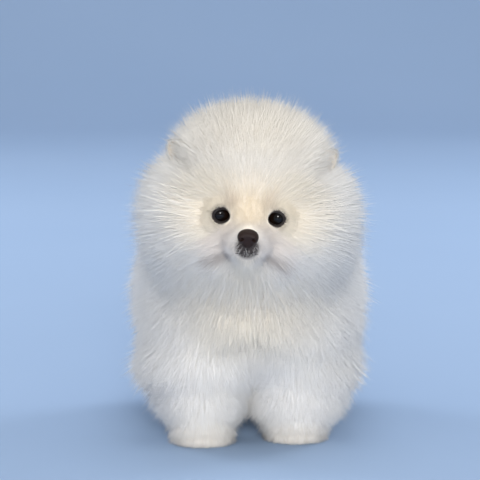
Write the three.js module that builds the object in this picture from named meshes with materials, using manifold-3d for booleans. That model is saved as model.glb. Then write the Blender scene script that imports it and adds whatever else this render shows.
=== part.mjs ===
// A white Pomeranian puppy, standing and facing -Y, life size, in millimetres, +Z up, feet on z = 0.
// The body under the coat is a smooth field of ellipsoids and tapered limbs. A core fills part of the coat's
// depth, and flat tapered locks rise from it to the coat's tips. Thin cuts part the whole dog into its nodes.
import * as THREE from 'three';
import { mergeVertices } from 'three/addons/utils/BufferGeometryUtils.js';
import { MeshSurfaceSampler } from 'three/addons/math/MeshSurfaceSampler.js';
import Module from 'manifold-3d';

const wasm = await Module();
wasm.setup();
const { Manifold } = wasm;

// Driving dimensions
const GAP = 0.3; // between touching nodes
const HEAD_AT = [0, -58, 150]; // middle of the skull
const HEAD_ROLL = 3.5; // degrees, towards the dog's left
const EYE_OUT = 17.5; // each eye's distance from the middle of the face
const EYE_AT = [-19, -4.5]; // y and z from the middle of the skull
const EYE_RADIUS = 7.2;
const LID_THICK = 1.3;
const EYE_OPENING = [5.9, 5.3]; // half width and half height between the lids
const NOSE_AT = [0, -43.5, -14.5];
const NOSE_RADII = [6.6, 5, 5.2];
const MOUTH_OUT = [-14, -9, -4, 0, 4, 9, 14]; // along the mouth, from its middle
const MOUTH_HEIGHT = -24.8;
const MOUTH_FALL = 0.16; // of the distance from the middle
const PHILTRUM_HEIGHTS = [-19.5, -22, -24.4];
const EAR_ROOT = [27, 2, 17]; // from the middle of the skull
const EAR_TIP = [55, -1, 41];
const EAR_WIDTH = 27;
const EAR_THICK = 5; // half of its depth at the root
const EAR_STRETCH = 1.28; // of its length, with the end that is sunk in the head
const EAR_SUNK = 0.28;
const EAR_CUP = [0.33, 0.5, 4.6]; // shares of its width and length, and a depth
const BODY_COAT = 44; // from the skin to the tips, on the sides of the body
const BELLY_COAT = 27;
const CROWN_COAT = 49;
const CROWN_NARROW = 0.16; // how much shorter it is towards the ears
const FACE_COAT = 5;
const LEG_COAT = 27; // at the top of each leg
const FOOT_COAT = 6;
const TAIL_COAT = 36;
const CORE_SHARE = 0.42; // of the coat's depth
const LOCK_SINK = 4; // of a root under the core's surface
const LOCK_WIDE = 1.28; // of the distance between roots
const LOCK_FLAT = 0.24; // thickness, of the width
const LOCK_DROOP = 0.1; // of the length
const LOCK_BEND = 0.55; // where it starts to bend, of the length
const LOCK_RINGS = [[0, 0.7], [0.45, 1], [0.76, 0.66]]; // place along a lock, and its share of the width
const SEED = 7;
const TRIES = 5000; // draws for the roots of one part
const OUTSIDE = 130; // farther than any skin from the middle of its part
const STRIDE = 1.5; // of the walk in from there
const SLIVER = 0.02; // the smallest edge that is kept

const vec = (a) => new THREE.Vector3(a[0], a[1], a[2]);
const lerp = THREE.MathUtils.lerp;
const step = THREE.MathUtils.smoothstep;
const degrees = THREE.MathUtils.degToRad;

// Seeded draws, evenly spread from 0 to 1
let drawState = SEED;
function draw() {
  drawState = (drawState * 1664525 + 1013904223) % 4294967296;
  return drawState / 4294967296;
}
const vary = (share) => 1 + share * (2 * draw() - 1);

// Distance fields: a tapered limb between two balls, an ellipsoid, and a smooth join of several
function limb(from, to, radiusFrom, radiusTo) {
  const a = vec(from);
  const along = vec(to).sub(a);
  const lengthSq = along.lengthSq();
  return (p) => {
    const q = p.clone().sub(a);
    const t = THREE.MathUtils.clamp(q.dot(along) / lengthSq, 0, 1);
    return q.addScaledVector(along, -t).length() - lerp(radiusFrom, radiusTo, t);
  };
}

function ellipsoid(at, radii) {
  const c = vec(at);
  const r = vec(radii);
  const rr = r.clone().multiply(r);
  return (p) => {
    const q = p.clone().sub(c);
    const k = q.clone().divide(r).length();
    return (k * (k - 1)) / Math.max(q.divide(rr).length(), 1e-9);
  };
}

function join(parts, blend) {
  return (p) => parts.map((f) => f(p)).reduce((a, b) => {
    const h = Math.max(blend - Math.abs(a - b), 0) / blend;
    return Math.min(a, b) - (h * h * blend) / 4;
  });
}

function gradient(field, p) {
  const e = 0.5;
  const slope = (x, y, z) => field(p.clone().add(new THREE.Vector3(x, y, z)))
    - field(p.clone().sub(new THREE.Vector3(x, y, z)));
  return new THREE.Vector3(slope(e, 0, 0), slope(0, e, 0), slope(0, 0, e)).normalize();
}

// The skin of the head, in the head's own frame: its origin is the middle of the skull
const mirrored = (make) => [1, -1].map(make);
const headSkin = join([
  ellipsoid([0, 2, 2], [29, 29, 27]),
  limb([0, -18, -13], [0, -34, -17], 15, 8.8),
  limb([0, -22, -8], [0, -37, -12], 8, 5.2),
  limb([0, -16, -24], [0, -32, -27], 10, 5.6),
  ...mirrored((s) => ellipsoid([s * 16, -6, -9], [14, 17, 14])),
  ...mirrored((s) => limb([s * 6, -22, -18], [s * 4.6, -33.5, -20], 10, 6.8)),
  ...mirrored((s) => limb([s * 9, -22, 5], [s * 17, -18, 5], 5, 4.5)),
], 6);

// The skin of the body, in the dog's frame
const FRONT_PAWS = [[-29, -54], [29, -44]]; // the dog's right foot stands a little further forward
const HIND_PAWS = [[-29, 54], [29, 58]];
const torsoSkin = join([
  ellipsoid([0, -22, 88], [33, 33, 38]),
  ellipsoid([0, 14, 86], [31, 42, 33]),
  ellipsoid([0, 46, 88], [33, 31, 36]),
], 16);
const neckSkin = limb([0, -26, 108], [0, -48, 138], 28, 25);
const TAIL_PATH = [[0, 58, 108], [0, 76, 134], [2, 68, 158], [4, 40, 168], [5, 14, 168]];
const TAIL_RADII = [8, 7, 6, 5, 3.5];
const tailSkin = join(TAIL_PATH.slice(1).map((to, i) => (
  limb(TAIL_PATH[i], to, TAIL_RADII[i], TAIL_RADII[i + 1])
)), 4);

function legPath([x, y], hind) {
  return hind
    ? [[x * 0.75, 42, 80], [x, y - 14, 52], [x, y + 6, 28], [x, y, 11]]
    : [[x * 0.75, -34, 78], [x, y + 10, 48], [x, y + 4, 28], [x, y, 11]];
}
const FRONT_RADII = [16, 12, 9.5, 10];
const HIND_RADII = [22, 14, 9, 10];
const LEG_CORE = [11, 10, 7, 2]; // of the coat, over the same places

function legSkin(foot, hind) {
  const path = legPath(foot, hind);
  const radii = hind ? HIND_RADII : FRONT_RADII;
  return join(path.slice(1).map((to, i) => limb(path[i], to, radii[i], radii[i + 1])), 6);
}

// Coat depth from the skin to the tips, by place
function bodyCoat(p, n) {
  return lerp(BELLY_COAT, BODY_COAT, step(n.z, -0.9, 0.1));
}

function headCoat(p) {
  const back = step(p.y, -27, 2);
  const towardsEar = p.z > 0 ? Math.sin(2 * Math.atan2(p.x, p.z)) ** 2 : 0;
  return lerp(FACE_COAT, CROWN_COAT * (1 - CROWN_NARROW * towardsEar), back);
}

function legCoat(p) {
  return lerp(FOOT_COAT, LEG_COAT, step(p.z, 4, 38));
}

// The way the coat lies, by place: n is the skin's normal
function bodyLie(p, n) {
  return n.clone().multiplyScalar(0.9).add(new THREE.Vector3(0, 0.35, -0.42)).normalize();
}

function headLie(p, n) {
  const away = new THREE.Vector3(p.x, 0, p.z + 12).normalize();
  return n.clone().multiplyScalar(0.6).addScaledVector(away, 0.75).add(new THREE.Vector3(0, 0.12, 0))
    .normalize();
}

function legLie(p, n) {
  return n.clone().multiplyScalar(0.5).add(new THREE.Vector3(0, 0.05, -0.9)).normalize();
}

function tailLie(p, n) {
  const run = new THREE.Vector3(0, p.y > 60 ? 0.1 : -0.45, p.z < 150 ? 0.35 : 0.05);
  return n.clone().multiplyScalar(0.9).add(run).normalize();
}

// A closed surface round a centre: each ray's last crossing of the field, grown by a depth
function shell(field, centre, pole, across, rings, crowd, grow) {
  const geometry = new THREE.SphereGeometry(1, across, rings);
  geometry.deleteAttribute('normal');
  geometry.deleteAttribute('uv');
  const turn = new THREE.Quaternion().setFromUnitVectors(new THREE.Vector3(0, 1, 0), vec(pole).normalize());
  const at = geometry.getAttribute('position');
  const p = new THREE.Vector3();
  for (let i = 0; i < at.count; i += 1) {
    p.fromBufferAttribute(at, i).normalize();
    const polar = Math.PI * (Math.acos(THREE.MathUtils.clamp(p.y, -1, 1)) / Math.PI) ** crowd;
    const turnAt = Math.atan2(p.z, p.x);
    p.set(Math.sin(polar) * Math.cos(turnAt), Math.cos(polar), Math.sin(polar) * Math.sin(turnAt));
    p.applyQuaternion(turn);
    const end = lastCrossing(field, vec(centre), p);
    const normal = gradient(field, end);
    at.setXYZ(i, ...end.addScaledVector(normal, grow(end, normal)).toArray());
  }
  return geometry;
}

function lastCrossing(field, from, along) {
  let far = OUTSIDE;
  const at = (r) => from.clone().addScaledVector(along, r);
  while (field(at(far)) > 0 && far > 1) far -= STRIDE;
  let near = far;
  far += STRIDE;
  for (let i = 0; i < 14; i += 1) {
    const middle = (near + far) / 2;
    if (field(at(middle)) > 0) far = middle;
    else near = middle;
  }
  return at(near);
}

// A closed tube of changing radius along a list of points, with round ends
function tube(points, radii, sides, steps, grow = 0) {
  const curve = new THREE.CatmullRomCurve3(points.map(vec));
  const cap = 0.09;
  const flat = [];
  const face = [];
  const at = (t) => {
    const k = THREE.MathUtils.clamp(t, 0, 1) * (radii.length - 1);
    const i = Math.min(Math.floor(k), radii.length - 2);
    const end = Math.min(t, 1 - t) / cap;
    const roundness = Math.sqrt(Math.max(0, 1 - Math.max(0, 1 - end) ** 2));
    return (lerp(radii[i], radii[i + 1], k - i) + grow) * roundness;
  };
  for (let s = 1; s < steps; s += 1) {
    const t = s / steps;
    const c = curve.getPoint(t);
    const along = curve.getTangent(t);
    const u = new THREE.Vector3(1, 0, 0).addScaledVector(along, -along.x).normalize();
    const w = along.clone().cross(u);
    for (let k = 0; k < sides; k += 1) {
      const a = (2 * Math.PI * k) / sides;
      const q = c.clone().addScaledVector(u, at(t) * Math.cos(a));
      flat.push(...q.addScaledVector(w, at(t) * Math.sin(a)).toArray());
    }
  }
  const last = (steps - 1) * sides;
  flat.push(...curve.getPoint(0).addScaledVector(curve.getTangent(0), -grow).toArray());
  flat.push(...curve.getPoint(1).addScaledVector(curve.getTangent(1), grow).toArray());
  ringFaces(face, steps - 1, sides, last, last + 1);
  return indexed(flat, face);
}

// Faces of a stack of rings, closed by one point at each end
function ringFaces(face, rings, sides, first, last) {
  for (let k = 0; k < sides; k += 1) {
    const next = (k + 1) % sides;
    for (let s = 0; s < rings - 1; s += 1) {
      const a = s * sides;
      const b = a + sides;
      face.push(a + k, a + next, b + next, a + k, b + next, b + k);
    }
    const end = (rings - 1) * sides;
    face.push(first, next, k);
    face.push(last, end + k, end + next);
  }
}

function indexed(flat, face) {
  return new THREE.BufferGeometry()
    .setAttribute('position', new THREE.Float32BufferAttribute(flat, 3))
    .setIndex(face);
}

// A three.js geometry as a solid, and back
function solid(geometry) {
  const g = geometry.clone();
  g.deleteAttribute('normal');
  g.deleteAttribute('uv');
  const merged = mergeVertices(g, 1e-3);
  return new Manifold(new wasm.Mesh({
    numProp: 3,
    vertProperties: merged.getAttribute('position').array,
    triVerts: new Uint32Array(merged.index.array),
  }));
}

function geometryOf(made) {
  const m = made.getMesh();
  return new THREE.BufferGeometry()
    .setAttribute('position', new THREE.BufferAttribute(new Float32Array(m.vertProperties), 3))
    .setIndex(new THREE.BufferAttribute(new Uint32Array(m.triVerts), 1));
}

// What a node keeps: its largest closed surface, without the slivers that cuts leave
const largest = (made) => made.decompose().reduce((a, b) => (a.volume() > b.volume() ? a : b));

function tidied(made) {
  let kept = largest(made).simplify(SLIVER);
  for (let round = 0; round < 3; round += 1) kept = largest(solid(geometryOf(kept)));
  return kept;
}

// One lock: a flat diamond section that tapers to a point and bends along its lie
function lock(root, facing, lie, length, width, thick, droop) {
  const side = lie.clone().cross(facing).normalize();
  const middle = root.clone().addScaledVector(lie, length * LOCK_BEND);
  const tip = root.clone().addScaledVector(lie, length).add(new THREE.Vector3(0, 0, -droop * length));
  const curve = new THREE.QuadraticBezierCurve3(root, middle, tip);
  const flat = [];
  const face = [];
  for (const [t, wide] of LOCK_RINGS) {
    const c = curve.getPoint(t);
    const up = curve.getTangent(t).cross(side).normalize();
    for (const [a, b] of [[1, 0], [0, 1], [-1, 0], [0, -1]]) {
      const q = c.clone().addScaledVector(side, (a * width * wide) / 2);
      flat.push(...q.addScaledVector(up, (b * thick * wide) / 2).toArray());
    }
  }
  flat.push(...root.clone().addScaledVector(lie, -1).toArray(), ...tip.toArray());
  const first = 4 * LOCK_RINGS.length;
  ringFaces(face, LOCK_RINGS.length, 4, first, first + 1);
  return solid(indexed(flat, face));
}

// Roots spread evenly over a core where the coat is long enough for a lock
function scatter(core, spacing, wanted) {
  const surface = new THREE.Mesh(core.toNonIndexed());
  const sampler = new MeshSurfaceSampler(surface).setRandomGenerator(draw).build();
  const taken = [];
  const p = new THREE.Vector3();
  const n = new THREE.Vector3();
  for (let i = 0; i < TRIES; i += 1) {
    sampler.sample(p, n);
    const room = spacing(p);
    if (wanted(p, n) && taken.every((q) => q.p.distanceTo(p) > room)) {
      taken.push({ p: p.clone(), n: n.clone() });
    }
  }
  return taken;
}

// The way a lock's flat side faces: outwards, and on the head partly forwards, so that it is broad from there
const outwards = (n) => n;
const forwards = (n) => n.clone().multiplyScalar(0.35).add(new THREE.Vector3(0, -1, 0));

// Locks of one part: its core surface, skin field, coat depth and lie
function coat(core, skin, depthAt, lieAt, spacing, wanted, facing = outwards) {
  return scatter(core, spacing, wanted).map(({ p }) => {
    const n = gradient(skin, p);
    const depth = depthAt(p, n);
    const lie = lieAt(p, n);
    const rise = Math.max(lie.dot(n), 0.5);
    const length = ((depth * (1 - CORE_SHARE)) / rise) * vary(0.12) + LOCK_SINK;
    const width = spacing(p) * LOCK_WIDE * vary(0.1);
    const root = p.clone().addScaledVector(lie, -LOCK_SINK);
    return lock(root, facing(n), lie, length, width, width * LOCK_FLAT, LOCK_DROOP);
  });
}

// A half space as a big box: it starts at a point and runs along a direction
function half(point, along, grow) {
  const size = 700;
  const d = vec(along).normalize();
  const box = new THREE.BoxGeometry(size, size, size);
  box.translate(0, 0, size / 2 - grow);
  box.applyQuaternion(new THREE.Quaternion().setFromUnitVectors(new THREE.Vector3(0, 0, 1), d));
  return solid(box.translate(...point));
}

function upright(x, y, from, to, radiusX, radiusY, grow) {
  const g = new THREE.CylinderGeometry(1, 1, to - from + 2 * grow, 18);
  g.rotateX(Math.PI / 2).scale(radiusX + grow, radiusY + grow, 1);
  return solid(g.translate(x, y, (from + to) / 2));
}

// Where each node ends, grown by a gap when it cuts its neighbours
const HEAD_CUT = { at: [0, -20, 116], under: [0, -0.1, 1], behind: [0, -0.87, 0.5] };
const NECK_CUT = { at: [0, -28, 100], along: [0, -0.55, 0.83] };
const LEG_TOP = 56;
const LEG_OUT = 1.38; // where a leg's space stands, of its foot's distance from the middle
const LEG_REACH = [36, 38];
const TAIL_CUT = { at: [0, 20, 153], along: [0, -0.12, 1], from: [0, 2, 150] };

function headSpace(grow) {
  return half(HEAD_CUT.at, HEAD_CUT.under, grow).intersect(half(HEAD_CUT.at, HEAD_CUT.behind, grow));
}
const neckSpace = (grow) => half(NECK_CUT.at, NECK_CUT.along, grow);
function tailSpace(grow) {
  const above = half(TAIL_CUT.at, TAIL_CUT.along, grow).intersect(half(TAIL_CUT.from, [0, 1, 0.35], grow));
  return above.add(solid(tube(TAIL_PATH.slice(0, 3), [10, 9, 10], 16, 10, grow)));
}
function legSpace(foot, hind, grow) {
  return upright(foot[0] * LEG_OUT, foot[1] + (hind ? 2 : 4), -5, LEG_TOP, ...LEG_REACH, grow);
}

// Head parts, in the head's own frame
const headTurn = new THREE.Matrix4().makeRotationY(degrees(HEAD_ROLL)).setPosition(...HEAD_AT);
const inHead = (made) => made.transform(headTurn.toArray());
const ball = (at, radii, across = 20, rings = 14) => solid(
  new THREE.SphereGeometry(1, across, rings).scale(...radii).translate(...at),
);
const eyeAt = (side) => [side * EYE_OUT, ...EYE_AT];
const eyeBall = (side, grow) => ball(eyeAt(side), Array(3).fill(EYE_RADIUS + grow), 14, 9);

function lids(side) {
  return ball(eyeAt(side), Array(3).fill(EYE_RADIUS + LID_THICK), 12, 8);
}

function muzzlePoint(x, z) {
  let y = -60;
  const p = new THREE.Vector3(x, y, z);
  while (headSkin(p) > 0 && y < 0) {
    y += 0.25;
    p.y = y;
  }
  return [x, y, z];
}

// A thin sweep along points on the muzzle
function sweep(points, radius, sides = 6, steps = 14) {
  return solid(tube(points, points.map(() => radius), sides, steps));
}

function mouthLine(radius) {
  const points = MOUTH_OUT.map((x) => muzzlePoint(x, MOUTH_HEIGHT - MOUTH_FALL * Math.abs(x)));
  return sweep(points, radius, 4, 9);
}

function noseSolid(grow) {
  return ball(NOSE_AT, NOSE_RADII.map((r) => r + grow), 14, 8);
}

function nostril(side) {
  return ball([side * 3.1, NOSE_AT[1] - 4.3, NOSE_AT[2] - 0.6], [1.5, 1.9, 1.2], 6, 5)
    .add(ball([side * 4.9, NOSE_AT[1] - 3.2, NOSE_AT[2] - 1.3], [1.7, 1.5, 0.7], 6, 4));
}

// An ear: a pointed leaf with a hollow face, thicker at its root
function earSolid(side, grow) {
  const root = vec(EAR_ROOT);
  const tip = vec(EAR_TIP);
  const along = tip.clone().sub(root);
  const length = along.length() + 2 * grow;
  const leaf = new THREE.SphereGeometry(1, 12, 8);
  const at = leaf.getAttribute('position');
  for (let i = 0; i < at.count; i += 1) {
    const h = (at.getY(i) + 1) / 2;
    const taper = 1 - 0.45 * h ** 1.6;
    const wide = at.getX(i) * (EAR_WIDTH / 2 + grow) * taper;
    const deep = at.getZ(i) * (EAR_THICK + grow) * taper;
    at.setXYZ(i, wide, (h - EAR_SUNK) * length * EAR_STRETCH, deep);
  }
  let made = solid(leaf);
  if (grow === 0) {
    const [wide, tall, deep] = EAR_CUP;
    const cup = new THREE.SphereGeometry(1, 10, 6).scale(EAR_WIDTH * wide, length * tall, deep);
    made = made.subtract(solid(cup.translate(0, length * 0.42, 5.2)));
  }
  const up = along.normalize();
  const facing = new THREE.Vector3(0.35, -1, 0.1).normalize();
  const x = up.clone().cross(facing).normalize();
  const z = x.clone().cross(up);
  const place = new THREE.Matrix4().makeBasis(x, up, z).setPosition(root);
  made = made.transform(place.toArray());
  if (side < 0) made = made.mirror([1, 0, 0]);
  return made;
}

function headCore() {
  const grow = (p) => (headCoat(p) - FACE_COAT) * CORE_SHARE;
  return shell(headSkin, [0, -16, -8], [0, -1, -0.12], 24, 17, 1.4, grow);
}

function faceDetails(core) {
  let head = core;
  for (const side of [1, -1]) head = head.add(lids(side));
  head = head.add(mouthLine(1.5));
  head = head.subtract(mouthLine(0.75));
  const philtrum = PHILTRUM_HEIGHTS.map((z) => muzzlePoint(0, z));
  head = head.subtract(sweep(philtrum, 0.6, 4, 4));
  for (const side of [1, -1]) {
    const [x, y, z] = eyeAt(side);
    const cut = new THREE.SphereGeometry(1, 12, 6).scale(EYE_OPENING[0], 9, EYE_OPENING[1]);
    cut.rotateZ(degrees(-12 * side)).translate(x + side * 1.2, y - 7, z);
    head = head.subtract(eyeBall(side, GAP)).subtract(solid(cut));
  }
  return head.subtract(noseSolid(GAP));
}

// Paw: four toes in an arc over a pad, flat underneath
const TOES = [[-9, -6], [-3.2, -9.5], [3.2, -9.5], [9, -6]]; // x and y from the middle of the paw
const TOE_RADII = [5, 7.5, 6.6];
const PAD_RADII = [13, 11, 8.5];
function paw([x, y], hind) {
  const spread = hind ? 0.9 : 1;
  const toes = TOES.map(([out, ahead]) => ball([x + out * spread, y + ahead, 6], TOE_RADII, 8, 5));
  const [wide, long, tall] = PAD_RADII;
  return Manifold.union([ball([x, y - 1, 6.5], [wide * spread, long, tall], 10, 6), ...toes]);
}

const ABOVE_FLOOR = half([0, 0, 0], [0, 0, 1], 0);
const coreOf = (skin, centre, depthAt, across, rings) => shell(
  skin, centre, [0, 1, 0], across, rings, 1, (p, n) => depthAt(p, n) * CORE_SHARE,
);

// Distance between neighbouring roots
const bodySpacing = () => 26;
const tailSpacing = () => 14;
const legSpacing = () => 25;
const headSpacing = (p) => lerp(14, 20, step(p.y, -24, 0));

function wholeDog() {
  const cores = [];
  const locks = [];
  const torso = coreOf(torsoSkin, [0, 10, 88], bodyCoat, 14, 12);
  const neck = coreOf(neckSkin, [0, -37, 123], bodyCoat, 14, 9);
  const head = headCore();
  const tail = tube(TAIL_PATH, TAIL_RADII, 8, 10, TAIL_COAT * CORE_SHARE * 0.6);
  cores.push(solid(torso), solid(neck), solid(tail));
  locks.push(...coat(torso, torsoSkin, bodyCoat, bodyLie, bodySpacing,
    (p) => neckSkin(p) > 14 && p.z > 40 && tailSkin(p) > 8));
  locks.push(...coat(neck, neckSkin, bodyCoat, bodyLie, bodySpacing, (p) => torsoSkin(p) > 14 && p.y > -90));
  locks.push(...coat(tail, tailSkin, () => TAIL_COAT, tailLie, tailSpacing, (p) => torsoSkin(p) > 20));
  for (const [feet, hind] of [[FRONT_PAWS, false], [HIND_PAWS, true]]) {
    for (const foot of feet) {
      const radii = hind ? HIND_RADII : FRONT_RADII;
      const leg = tube(legPath(foot, hind), radii.map((r, i) => r + LEG_CORE[i]), 8, 8);
      cores.push(solid(leg), paw(foot, hind));
      locks.push(...coat(leg, legSkin(foot, hind), legCoat, legLie, legSpacing,
        (p) => p.z < LEG_TOP + 4 && p.z > 17));
    }
  }
  const headLocks = coat(head, headSkin, headCoat, headLie, headSpacing,
    (p) => headCoat(p) > 13, forwards);
  const headMade = faceDetails(Manifold.union([solid(head), ...headLocks]));
  const body = Manifold.union([...cores, ...locks]);
  return { body, head: inHead(headMade) };
}

const { body, head } = wholeDog();
const sideOf = { left: 1, right: -1 };
const eyes = Object.fromEntries(Object.entries(sideOf).map(([k, s]) => [k, inHead(eyeBall(s, 0))]));
const nose = inHead(noseSolid(0).subtract(nostril(1)).subtract(nostril(-1)));
const ears = Object.fromEntries(Object.entries(sideOf).map(([k, s]) => [k, inHead(earSolid(s, 0))]));
const earSpaces = Manifold.union([1, -1].map((s) => inHead(earSolid(s, GAP))));

// Cut the whole dog into its nodes, each taken from what the ones before it leave
const group = new THREE.Group();
const spaces = [
  ['tail', tailSpace],
  ['leg_front_right', (g) => legSpace(FRONT_PAWS[0], false, g)],
  ['leg_front_left', (g) => legSpace(FRONT_PAWS[1], false, g)],
  ['leg_hind_right', (g) => legSpace(HIND_PAWS[0], true, g)],
  ['leg_hind_left', (g) => legSpace(HIND_PAWS[1], true, g)],
  ['neck', neckSpace],
];
const nodes = new Map([['head', largest(head.subtract(earSpaces).intersect(headSpace(0)))]]);
let rest = body.add(head).intersect(ABOVE_FLOOR).subtract(earSpaces).subtract(headSpace(GAP));
for (const [name, space] of spaces) {
  nodes.set(name, largest(rest.intersect(space(0))));
  rest = rest.subtract(space(GAP));
}
nodes.set('torso', largest(rest));
for (const side of Object.keys(sideOf)) {
  nodes.set('eye_' + side, eyes[side]);
  nodes.set('ear_' + side, ears[side]);
}
nodes.set('nose', nose);

// Materials by node, with the coat's white, the eyes' brown-black and the nose's dark brown
const coatWhite = { color: 0xf1ede4, roughness: 0.9, metalness: 0 };
const materials = {
  eye: { color: 0x120c0a, roughness: 0.08, metalness: 0 },
  nose: { color: 0x1d1414, roughness: 0.4, metalness: 0 },
  ear: { color: 0xf0dccb, roughness: 0.85, metalness: 0 },
};

// The origin is the middle of the dog's outline on the floor
const outline = new THREE.Box3();
for (const made of nodes.values()) {
  const { min, max } = made.boundingBox();
  outline.expandByPoint(vec(min)).expandByPoint(vec(max));
}
const middle = outline.getCenter(new THREE.Vector3());

for (const [name, made] of nodes) {
  const kind = materials[name.split('_')[0]] ?? coatWhite;
  const placed = tidied(made.translate([-middle.x, -middle.y, 0]));
  const mesh = new THREE.Mesh(geometryOf(placed), new THREE.MeshStandardMaterial(kind));
  mesh.name = name;
  group.add(mesh);
}

export default group;
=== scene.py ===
# The looks of a white pomeranian puppy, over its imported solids.
# Places and sizes are in millimetres, as in the part's source, until a mesh is made
import math

import bpy
import numpy as np
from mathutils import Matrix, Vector, kdtree


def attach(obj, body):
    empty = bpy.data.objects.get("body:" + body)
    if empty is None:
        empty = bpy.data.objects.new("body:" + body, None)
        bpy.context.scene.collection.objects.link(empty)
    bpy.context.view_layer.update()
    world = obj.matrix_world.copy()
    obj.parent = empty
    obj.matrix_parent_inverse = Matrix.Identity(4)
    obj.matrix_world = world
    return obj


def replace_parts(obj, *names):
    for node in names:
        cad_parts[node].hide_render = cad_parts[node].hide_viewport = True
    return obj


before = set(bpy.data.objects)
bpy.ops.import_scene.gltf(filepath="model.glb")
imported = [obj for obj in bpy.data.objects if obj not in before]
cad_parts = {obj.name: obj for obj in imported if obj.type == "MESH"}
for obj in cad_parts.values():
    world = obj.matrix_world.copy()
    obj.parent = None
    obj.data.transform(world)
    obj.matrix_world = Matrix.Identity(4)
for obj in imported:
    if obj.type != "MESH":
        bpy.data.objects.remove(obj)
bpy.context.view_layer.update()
rng = np.random.default_rng(11)

# Places, as in the part's source, in millimetres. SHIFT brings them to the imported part's origin
SHIFT = np.array([-1.125, -4.926, 0.0])
HEAD_AT = np.array([0.0, -58.0, 150.0])
HEAD_ROLL = math.radians(3.5)
EYE_AT = np.array([17.5, -19.0, -4.5])
EYE_RADIUS = 7.2
EYE_OPENING = (5.0, 4.25)
LID_OUT = 7.7  # from the middle of the ball to the outside of its lids
OPENING_IN = 1.1  # the lids open a little nearer the nose than the middle of the ball
NOSE_AT = np.array([0.0, -43.5, -14.5])
EAR_ROOT = np.array([27.0, 2.0, 17.0])
EAR_TIP = np.array([52.0, -3.0, 36.8])
EAR_WIDTH = 27.0
BODY_COAT, BELLY_COAT, TAIL_COAT = 40.0, 27.0, 36.0
CROWN_COAT, FACE_COAT, LEG_COAT, FOOT_COAT = 43.0, 7.5, 27.0, 9.5
EAR_TURN, EAR_REACH = 60.0, 8.5  # degrees from the top, round which the coat is shorter
EAR_DIP_BEHIND, EAR_DIP_BEFORE = 0.36, 0.42  # by these shares
FLANK_COAT, CHEEK_COAT = 5.0, 2.5  # what the coat gains low on the flanks and on the cheeks
HIP_COAT = 5.0  # what the coat gains from the middle of a leg up to the body
PAW_TOP = 11.5  # where the coat of a leg ends and the short fur of its paw begins
UNDERCOAT = 0.38  # the skin with its undercoat, as a share of the coat's depth
MM = 0.001
TINY = 1e-9  # keeps a division clear of zero
NUDGE = 1e-6  # keeps a direction that might be nothing a direction
SIDES = (1, -1)


def unit(v):
    return v / np.maximum(np.linalg.norm(v, axis=-1, keepdims=True), TINY)


def smooth(x, low, high):
    t = np.clip((x - low) / (high - low), 0, 1)
    return t * t * (3 - 2 * t)


def limb(a, b, ra, rb):
    a, b = np.array(a, float), np.array(b, float)
    d = b - a

    def field(p):
        q = p - a
        t = np.clip((q @ d) / (d @ d), 0, 1)
        return np.linalg.norm(q - t[..., None] * d, axis=-1) - (ra + (rb - ra) * t)
    return field


def ellipsoid(at, radii):
    at, radii = np.array(at, float), np.array(radii, float)

    def field(p):
        q = p - at
        k = np.linalg.norm(q / radii, axis=-1)
        return k * (k - 1) / np.maximum(np.linalg.norm(q / radii ** 2, axis=-1), TINY)
    return field


def join_two(a, b, blend):
    h = np.maximum(blend - np.abs(a - b), 0) / blend
    return np.minimum(a, b) - h * h * blend / 4


def join(fields, blend):
    def field(p):
        made = fields[0](p)
        for f in fields[1:]:
            made = join_two(made, f(p), blend)
        return made
    return field


# The head's own frame, turned about the direction in which the dog faces
ROLL = np.array([[math.cos(HEAD_ROLL), 0, math.sin(HEAD_ROLL)], [0, 1, 0],
                 [-math.sin(HEAD_ROLL), 0, math.cos(HEAD_ROLL)]])


def to_head(p):
    return (p - HEAD_AT) @ ROLL


def from_head(p):
    return np.asarray(p, float) @ ROLL.T + HEAD_AT


def turn_from_head(v):
    return np.asarray(v, float) @ ROLL.T


# The bare dog, from ellipsoids and tapered limbs that melt into each other over these distances
HEAD_BLEND, TORSO_BLEND, TAIL_BLEND, LEG_BLEND, PAW_BLEND = 6, 16, 4, 6, 5.0


def chain(path, radii, blend):
    return join([limb(*path[i:i + 2], *radii[i:i + 2]) for i in range(len(path) - 1)], blend)


skull = ellipsoid([0, 2, 2], [29, 29, 27])
muzzle_root = limb([0, -18, -13], [0, -34, -17], 15, 8.8)
bridge = limb([0, -22, -8], [0, -37, -12], 8, 5.2)
jaw = limb([0, -16, -24], [0, -32, -27], 10, 5.6)
cheeks = [ellipsoid([s * 16, -6, -9], [14, 17, 14]) for s in SIDES]
muzzle_sides = [limb([s * 6, -22, -18], [s * 4.6, -33.5, -20], 10, 6.8) for s in SIDES]
brows = [limb([s * 9, -22, 5], [s * 17, -18, 5], 5, 4.5) for s in SIDES]
head_skin = join([skull, muzzle_root, bridge, jaw] + cheeks + muzzle_sides + brows, HEAD_BLEND)

chest = ellipsoid([0, -22, 88], [33, 33, 38])
waist = ellipsoid([0, 14, 86], [31, 42, 33])
rump = ellipsoid([0, 46, 88], [33, 31, 36])
torso_skin = join([chest, waist, rump], TORSO_BLEND)
neck_skin = limb([0, -26, 108], [0, -48, 138], 28, 25)
TAIL_PATH = ([0, 58, 108], [0, 76, 134], [2, 68, 158], [4, 40, 168], [5, 14, 168])
TAIL_RADII = (8, 7, 6, 5, 3.5)
tail_skin = chain(TAIL_PATH, TAIL_RADII, TAIL_BLEND)

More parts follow.
